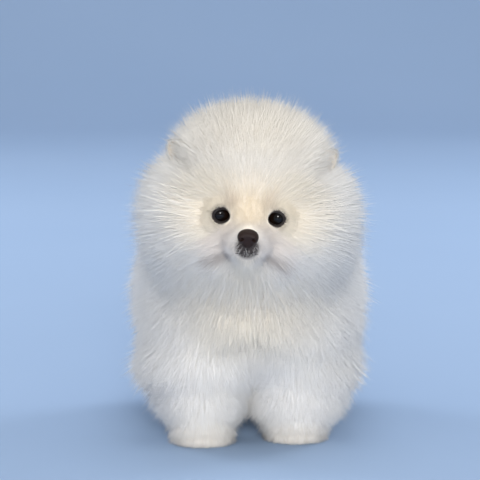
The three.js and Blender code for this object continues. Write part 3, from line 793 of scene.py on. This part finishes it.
mouth = np.linspace(-MOUTH_HALF, MOUTH_HALF, 41)
mouth_peak = MOUTH_PEAK * np.exp(-(mouth / 2.2) ** 2)
lip_line("lip_upper", mouth, MOUTH_HEIGHT - MOUTH_FALL * mouth ** 2 + mouth_peak, LIP_SUNK)
lip_line("lip_groove", 0.001 * np.arange(14), np.linspace(GROOVE_TOP, MOUTH_HEIGHT, 14), GROOVE_SUNK)


# Ears: a thin pointed leaf, hollow in front. Its own axes are up, across and to the front
ear_length = np.linalg.norm(EAR_TIP - EAR_ROOT)
ear_up = unit(EAR_TIP - EAR_ROOT)
ear_across = unit(np.cross(ear_up, unit(np.array([0.35, -1, 0.1]))))
ear_front = np.cross(ear_across, ear_up)
EAR_SUNK, EAR_OVER = 3, 1.5  # what the leaf goes down into the head, and past its tip
EAR_CUP, EAR_CUP_SHALLOWER, EAR_ROOT_BACK = 4.6, 0.35, 2.4
EAR_RIM, EAR_THICK = 0.25, 1.0  # half thickness at the rim, and what the middle adds


def ear_points(u, v, sheet, side):
    """Points on one face of an ear, by their share of its length and of its half width."""
    wide = EAR_WIDTH / 2 * np.maximum(1 - np.maximum(u, 0) ** 2.4, 0) ** 0.7
    cup = EAR_CUP * (v ** 2) * (1 - EAR_CUP_SHALLOWER * u) - EAR_ROOT_BACK * (1 - u)
    thick = (EAR_RIM + EAR_THICK * (1 - v ** 6) * (1 - u ** 8)) * sheet
    p = EAR_ROOT + ear_up * (u * (ear_length + EAR_OVER) - EAR_SUNK)[..., None]
    p = p + ear_across * (v * wide)[..., None] + ear_front * (cup + thick)[..., None]
    return p * [side, 1, 1]


def ear(side, name):
    nu, nv = 26, 22
    u, v = np.meshgrid(np.linspace(0, 0.995, nu), np.linspace(-1, 1, nv), indexing="ij")
    sheets = [ear_points(u, v, s, side).reshape(-1, 3) for s in (1, -1)]
    n = nu * nv
    tris = []
    for i in range(nu - 1):
        for k in range(nv - 1):
            a, b, c, d = i * nv + k, (i + 1) * nv + k, (i + 1) * nv + k + 1, i * nv + k + 1
            tris += [(a, c, b), (a, d, c), (n + a, n + b, n + c), (n + a, n + c, n + d)]
    rim = [i * nv for i in range(nu)] + [(nu - 1) * nv + k for k in range(1, nv)]
    rim += [i * nv + nv - 1 for i in range(nu - 2, -1, -1)] + [k for k in range(nv - 2, 0, -1)]
    for i in range(len(rim)):
        a, b = rim[i], rim[(i + 1) % len(rim)]
        tris += [(a, b, n + b), (a, n + b, n + a)]
    tris = np.array(tris)
    if side < 0:
        tris = tris[:, ::-1]
    piece = mesh_piece(name, from_head(np.concatenate(sheets)), tris, ear_look)
    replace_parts(piece, name.replace("ear_leaf", "ear"))


for side, word in ((1, "left"), (-1, "right")):
    ear(side, f"ear_leaf_{word}")

# Coat. Each strand is a closed three-sided taper that bends along the lie
HEAD_SOONER, NECK_LATER = 4, 2  # how far the head's coat takes from the neck's
REGION_MELT = 3.0


def region_weights(p):
    """The shares of the head, torso, neck, tail and legs in the coat at each place."""
    fields = [head_skin(to_head(p)) - HEAD_SOONER, torso_skin(p), neck_skin(p) + NECK_LATER, tail_skin(p)]
    stacked = np.stack(fields + [f(p) for f in leg_skins])
    w = np.exp(-(stacked - stacked.min(0)) / REGION_MELT)
    w = np.concatenate([w[:4], w[4:].sum(0)[None]])
    return w / w.sum(0)


CROWN_LOW = 12  # below the head's middle, from where its coat spreads
FACE_POLE = np.array([0, -44.0, -13.0])  # in the head, from where the face's coat spreads
CHEST_FRONT = (40, 72)
BODY_FLOW, NECK_FLOW = np.array([0, 0.35, -0.42]), np.array([0, 0.2, -0.5])
LEG_FLOW, PAW_FLOW = np.array([0, 0.05, -0.75]), np.array([0, -0.6, -0.8])
PAW_FUR = (13, 22)  # heights over which a paw's fur becomes a leg's


def head_lie(p, n):
    q = to_head(p)
    away = unit(np.stack([q[:, 0], np.zeros(len(q)), q[:, 2] + CROWN_LOW], -1))
    away = away * smooth(q[:, 1], -52, -22)[:, None]
    forward = smooth(-q[:, 1], 20, 36)[:, None]
    face = unit((q - FACE_POLE) * [1.3, 0.9, 1.0])
    head = unit(n * 0.6 + away * 0.75 + np.array([0, 0.12, 0]))
    head = unit(head * (1 - forward) + (face + n * 0.25) * forward)
    for s in SIDES:
        off = q - EYE_AT * [s, 1, 1]
        near = 1 - smooth(np.linalg.norm(off, axis=1), 9, 20)
        head = unit(head + unit(off * [1.3, 0.3, 1]) * (1.6 * near)[:, None])
    return turn_from_head(head)


def tail_lie(p, n):
    back = np.where(p[:, 1] > 60, 0.1, -0.45)
    up = np.where(p[:, 2] < 150, 0.35, 0.05)
    return unit(n * 0.9 + np.stack([np.zeros(len(p)), back, up], -1))


def leg_lie(p, n):
    on_paw = 1 - smooth(p[:, 2], *PAW_FUR)[:, None]
    onwards = PAW_FLOW - n * (n @ PAW_FLOW)[:, None]
    return unit(n * (0.8 - 0.3 * on_paw) + LEG_FLOW * (1 - on_paw) + onwards * on_paw)


def lies(p, n):
    """The way that the coat of each region grows, in the order of region_weights."""
    ones = np.ones(len(p))
    chest_lie = unit(n * 0.8 + np.stack([p[:, 0] * 0.006, -0.1 * ones, -0.75 * ones], -1))
    front = smooth(-p[:, 1], *CHEST_FRONT)[:, None]
    body = unit(unit(n * 0.9 + BODY_FLOW) * (1 - front) + chest_lie * front)
    neck = unit(n * 0.9 + NECK_FLOW) * (1 - front) + chest_lie * front
    return np.stack([head_lie(p, n), body, neck, tail_lie(p, n), leg_lie(p, n)])


def depths(p):
    """The depth of each region's coat, in the order of region_weights."""
    torso = torso_depth(p)
    return np.stack([head_depth(p), torso, torso, tail_depth(p), leg_depth(p)])


tri_points = skin_points[np.concatenate([skin_faces[:, [0, 1, 2]], skin_faces[:, [0, 2, 3]]])]
tri_normal = np.cross(tri_points[:, 1] - tri_points[:, 0], tri_points[:, 2] - tri_points[:, 0])
tri_area = np.linalg.norm(tri_normal, axis=1) / 2
tri_middle = tri_points.mean(1)


def roots(count, weight):
    """Seeded places on the skin, as many to each triangle as its weight."""
    share = tri_area * weight
    pick = rng.choice(len(share), count, p=share / share.sum())
    a, b = rng.random(count), rng.random(count)
    flip = a + b > 1
    a, b = np.where(flip, 1 - a, a), np.where(flip, 1 - b, b)
    t = tri_points[pick]
    return t[:, 0] + a[:, None] * (t[:, 1] - t[:, 0]) + b[:, None] * (t[:, 2] - t[:, 0])


# The unwrap: where each region starts on the sheet, and how far it goes across and up
HEAD_SHEET, BODY_SHEET, TAIL_SHEET = (0, 0.02, 0.46, 0.44), (0.5, 0.02, 0.46, 0.44), (0, 0.50, 0.46, 0.2)
LEG_SHEET, LEG_SHEET_STEP = (0, 0.74, 0.2, 0.22), 0.25
TAIL_MIDDLE = 150  # height of the line that the tail is turned about


def turned(across, along):
    return np.arctan2(across, along) / (2 * math.pi) + 0.5


def unwrap(p):
    """The root's place on an unwrap of the skin: head, body and each limb turned about its own line."""
    w = region_weights(p).argmax(0)
    q = to_head(p)
    x, y, z = p.T
    foot = np.array([f for f, _ in FEET], float)
    nearest = np.argmin(np.linalg.norm(p[:, None, :2] - foot, axis=-1), axis=1)
    head_along = np.arccos(np.clip(unit(q + [0, 4, 8])[:, 1], -1, 1)) / math.pi
    head = (turned(q[:, 0], -q[:, 2] + NUDGE), head_along, HEAD_SHEET, 0)
    body = (turned(x, z - BACK_HEIGHT), np.clip((y + 100) / 200, 0, 1), BODY_SHEET, 0)
    tail = (turned(x, z - TAIL_MIDDLE), np.clip(y / 90, 0, 1), TAIL_SHEET, 0)
    leg_round = turned(x - foot[nearest, 0], foot[nearest, 1] - y)
    leg = (leg_round, np.clip(z / 100, 0, 1), LEG_SHEET, nearest * LEG_SHEET_STEP)
    regions = (head, body, body, tail, leg)
    u = np.choose(w, [sheet[0] + more + round_it * sheet[2] for round_it, _, sheet, more in regions])
    v = np.choose(w, [sheet[1] + along * sheet[3] for _, along, sheet, _ in regions])
    return np.stack([u, v], -1)


# What no strand crosses: its middle in the head, its half width and height, and how far back it reaches
EYE_ROOM, BEFORE_EYE = (5.6, 4.6), -17.0
NOSE_ROOM, BEFORE_NOSE = (6.4, 4.8), -39.0
EYE_MIDDLES = [(EYE_AT - [OPENING_IN, 0, 0]) * [s, 1, 1] for s in SIDES]
KEPT_CLEAR = [(at, EYE_ROOM, BEFORE_EYE) for at in EYE_MIDDLES] + [(NOSE_AT, NOSE_ROOM, BEFORE_NOSE)]


def hides_face(p):
    """True where a point stands in front of an eye or the nose."""
    q = to_head(p)
    hit = np.zeros(len(q), bool)
    for at, room, front in KEPT_CLEAR:
        hit |= (np.linalg.norm((q - at)[:, [0, 2]] / room, axis=1) < 1) & (q[:, 1] < front)
    return hit


def clear_face(p):
    """Moves what would cross in front of an eye or the nose out to its edge."""
    q = to_head(p)
    for at, room, front in KEPT_CLEAR:
        off = (q - at)[:, [0, 2]]
        away = np.linalg.norm(off / room, axis=1)
        hit = (away < 1) & (q[:, 1] < front)
        moved = off * (rng.uniform(1, 1.12, len(q)) / np.maximum(away, 0.05))[:, None] + at[[0, 2]]
        q[:, 0] = np.where(hit, moved[:, 0], q[:, 0])
        q[:, 2] = np.where(hit, moved[:, 1], q[:, 2])
    return from_head(q)


DIVERSITY = (0.74, 1.08)  # of the strands' lengths
STRAY_SHARE, STRAY_LENGTH = 0.1, 1.18  # the strands that stand out of the rest
SHORTEST = 1.3
NORMAL_STEP = 0.8
PAW_FUR_SIDE, PAW_FUR_FRONT = 9.5, 3.5  # the longest fur over a paw, and what it loses in front


def flow(p, jitter):
    """How the coat grows at its roots: the skin's normal, the lie, the length and the head's share."""
    n = slope(skin_field, p, NORMAL_STEP)
    w = region_weights(p)
    lie = unit((lies(p, n) * w[..., None]).sum(0))
    depth = (depths(p) * w).sum(0)
    rise = np.maximum((lie * n).sum(1), 0.45)
    lie = unit(lie + rng.normal(0, jitter, (len(p), 3)))
    length = depth * (1 - UNDERCOAT) / rise * rng.uniform(*DIVERSITY, len(p))
    length = length * np.where(rng.random(len(p)) < STRAY_SHARE, STRAY_LENGTH, 1.0)
    above = (p[:, 2] - PAW_TOP) / np.maximum(-lie[:, 2], 0.15)
    over_paw = np.maximum(above, 0) + PAW_FUR_SIDE - PAW_FUR_FRONT * np.maximum(-n[:, 1], 0)
    head, leg = w[0], w[4]
    length = np.where(leg > 0.5, np.minimum(length, over_paw), length)
    for _ in range(6):
        hit = hides_face(p + lie * length[:, None]) | hides_face(p + lie * (length * 0.6)[:, None])
        length = np.where(hit, length * 0.7, length)
    return n, lie, np.maximum(length, SHORTEST), head


def clumped(p, tip, group, pull):
    """Tips that lean to the tip of the strand that their group follows, and which strand that is."""
    leaders = rng.choice(len(p), max(1, int(len(p) / group)), replace=False)
    tree = kdtree.KDTree(len(leaders))
    for i, at in enumerate(p[leaders]):
        tree.insert(at, i)
    tree.balance()
    lead = leaders[np.array([tree.find(at)[1] for at in p])]
    share = pull * rng.uniform(0.5, 1.0, len(p))
    return tip + (tip[lead] + (p - p[lead]) * 0.25 - tip) * share[:, None], lead


FLOOR_CLEAR = 0.4
SECTIONS = {1: (1.0,), 2: (1.0, 0.72)}  # widths at the rings, by the number of segments
DROOP, BEND, ROOT_SUNK = 0.07, 0.55, 0.6
WIDTHS, FULL_LENGTH = (0.75, 1.25), 16  # spread of the widths, and the length that has the full width
TRIANGLE = 0.577  # from the middle of a triangle to its corners, for a side of 1
PATCH_HALF, PATCH_TALL = 0.0014, 0.003  # of a strand on the unwrap
GROUP_TONE = 0.65  # how much of a strand's tone is its group's


def strands(name, roots_of, width, segments, wave, group=0, pull=0.0, soft=0.93):
    """A piece of closed three-sided tapers, bent along the lie, with their markings, painted paw shade and
    unwrap.
    """
    p, n, lie, length, place_uv = roots_of
    count = len(p)
    tip = p + lie * length[:, None]
    tip[:, 2] -= DROOP * length
    tone = rng.random(count)
    if group:
        tip, lead = clumped(p, tip, group, pull)
        tone = tone * (1 - GROUP_TONE) + tone[lead] * GROUP_TONE
    side = unit(np.cross(lie, n) + NUDGE)
    middle = p + lie * (length * BEND)[:, None] + side * (rng.normal(0, wave, count) * length)[:, None]
    for made in (tip, middle):
        made[:, 2] = np.maximum(made[:, 2], FLOOR_CLEAR)
    tip, middle = clear_face(tip), clear_face(middle)
    start = p - n * ROOT_SUNK
    wide = width * rng.uniform(*WIDTHS, count) * np.clip(length / FULL_LENGTH, 0.5, 1.0)
    rings, normals, uvs, places = [], [], [], []
    angle = rng.uniform(0, 2 * math.pi, count)
    for step, share in enumerate(SECTIONS[segments]):
        t = step / segments
        c = (1 - t) ** 2 * start + 2 * t * (1 - t) * middle + t * t * tip
        along = unit(2 * (1 - t) * (middle - start) + 2 * t * (tip - middle))
        u = unit(np.cross(along, side) + NUDGE)
        v = np.cross(along, u)
        for k in range(3):
            a = angle + 2 * math.pi * k / 3
            out = u * np.cos(a)[:, None] + v * np.sin(a)[:, None]
            rings.append(c + out * (wide * share * TRIANGLE)[:, None])
            normals.append(unit(out * (1 - soft) + unit(n + lie * 0.08) * soft))
            uvs.append(place_uv + [PATCH_HALF * (k - 1), PATCH_TALL * (t - 0.5)])
            places.append(np.full(count, t))
    rings.append(tip)
    normals.append(unit(n + lie * 0.2))
    uvs.append(place_uv + [0, PATCH_TALL / 2])
    places.append(np.ones(count))
    per = len(rings)
    pattern = [(0, 2, 1)]
    for ring in range(segments - 1):
        for k in range(3):
            a, b = ring * 3 + k, ring * 3 + (k + 1) % 3
            pattern += [(a, b, b + 3), (a, b + 3, a + 3)]
    last = (segments - 1) * 3
    pattern += [(last + k, last + (k + 1) % 3, per - 1) for k in range(3)]
    tris = (np.arange(count)[:, None, None] * per + np.array(pattern)[None]).reshape(-1, 3)
    piece = mesh_piece(name, np.stack(rings, 1).reshape(-1, 3), tris, coat_look,
                       np.stack(normals, 1).reshape(-1, 3))
    tone = np.repeat(tone, per)
    along = np.stack(places, 1).reshape(-1)
    store(piece, "strand", np.stack([along, tone, np.zeros_like(along)], -1))
    store(piece, "root_place", np.repeat(world_at(p), per, axis=0))
    layer = piece.data.uv_layers.new(name="OFBake")
    uv = np.stack(uvs, 1).reshape(-1, 2)
    layer.uv.foreach_set("vector", uv[tris.ravel()].astype(np.float32).ravel())


HEAD_SLIMMER = 0.2  # what a strand's width loses on the head, where none is drawn into a group


def coat(name, p, width, segments, jitter, wave, group, pull, soft):
    n, lie, length, on_head = flow(p, jitter)
    roots_of = (p, n, lie, length, unwrap(p))
    slim = 1 - HEAD_SLIMMER * on_head
    strands(name, roots_of, width * slim, segments, wave, group, pull * (1 - on_head), soft)


EAR_FUR_BEFORE, EAR_FUR_BEHIND = 2.6, 3.6
EAR_FUR_WIDTH, EAR_FUR_WAVE, EAR_FUR_JITTER = 0.34, 0.03, 0.14
EAR_SHEET = (0.53, 0.51)  # where the ears start on the unwrap


def ear_coat(name, count):
    """Short fur on both faces and round the rim of the two ears, from as many roots on each face."""
    made = []
    for side in SIDES:
        mirror = np.array([side, 1, 1])
        for sheet in SIDES:
            u = rng.uniform(0.05, 0.99, count)
            v = rng.uniform(-1, 1, count)
            outward = (v ** 3)[:, None]
            n = unit((ear_front * sheet + ear_across * outward * 0.8) * mirror)
            lie = unit(ear_up * mirror * 0.75 + n * 0.55 + ear_across * mirror * outward * 0.3)
            lie = unit(lie + rng.normal(0, EAR_FUR_JITTER, (count, 3)))
            longest = EAR_FUR_BEHIND if sheet < 0 else EAR_FUR_BEFORE
            length = longest * rng.uniform(0.7, 1.2, count) * (1 - 0.25 * u)
            across = EAR_SHEET[0] + 0.1 * (sheet > 0) + 0.2 * (side > 0) + v * 0.04
            uv = np.stack([across, EAR_SHEET[1] + u * 0.18], -1)
            p = from_head(ear_points(u, v, sheet, side))
            made.append((p, turn_from_head(n), turn_from_head(lie), length, uv))
    roots_of = [np.concatenate(kind) for kind in zip(*made)]
    strands(name, roots_of, EAR_FUR_WIDTH, 1, EAR_FUR_WAVE)


# Where each kind of coat grows: the long and fine where it is deep, the short on the face and the feet
where_depth = (depths(tri_middle) * region_weights(tri_middle)).sum(0)
in_head = to_head(tri_middle)
eye_gap = eye_distance(in_head)
nose_gap = np.linalg.norm(in_head - NOSE_AT, axis=1)
EYE_BARE, NOSE_BARE, SOLE_BARE = 7.6, 5.2, 0.6
bare = (eye_gap < EYE_BARE) | (nose_gap < NOSE_BARE) | (tri_middle[:, 2] < SOLE_BARE)
lip_gap = np.linalg.norm(in_head - [0, -41, -21.5], axis=1)
front = smooth(-tri_middle[:, 1], -20, 60)
face = 1 - smooth(np.linalg.norm(in_head - [0, -30, -12], axis=1), 22, 36)
on_long = np.where(bare, 0, smooth(where_depth, 7, 20)) * (1 + 0.9 * front) * (1 - 0.5 * face)
on_fine = np.where(bare, 0, smooth(where_depth, 6, 16)) * (1 + 1.4 * front)
on_short = np.where(bare, 0, 1 - smooth(where_depth, 12, 24)) * (1 + 2 * front) * (1 + 2 * face)
on_short = on_short * (0.05 + 0.95 * smooth(lip_gap, 6, 10))

# Each kind: width, segments, jitter of the lie, wave, strands to a group, its pull, softness of the normals
LONG = (0.5, 2, 0.13, 0.08, 12, 0.5, 0.8)
FINE = (0.4, 1, 0.15, 0.0, 7, 0.35, 0.85)
SHORT = (0.42, 1, 0.18, 0.0, 9, 0.6, 0.6)
LONG_COUNT, FINE_COUNT, SHORT_COUNT, EAR_COUNT = 19500, 49000, 49000, 5000  # strands in a piece
for i in (1, 2, 3):
    coat(f"coat_long_{i}", roots(LONG_COUNT, on_long), *LONG)
for i in (1, 2, 3):
    coat(f"coat_fine_{i}", roots(FINE_COUNT, on_fine), *FINE)
coat("coat_short_1", roots(SHORT_COUNT, on_short), *SHORT)
ear_coat("coat_ears", EAR_COUNT)
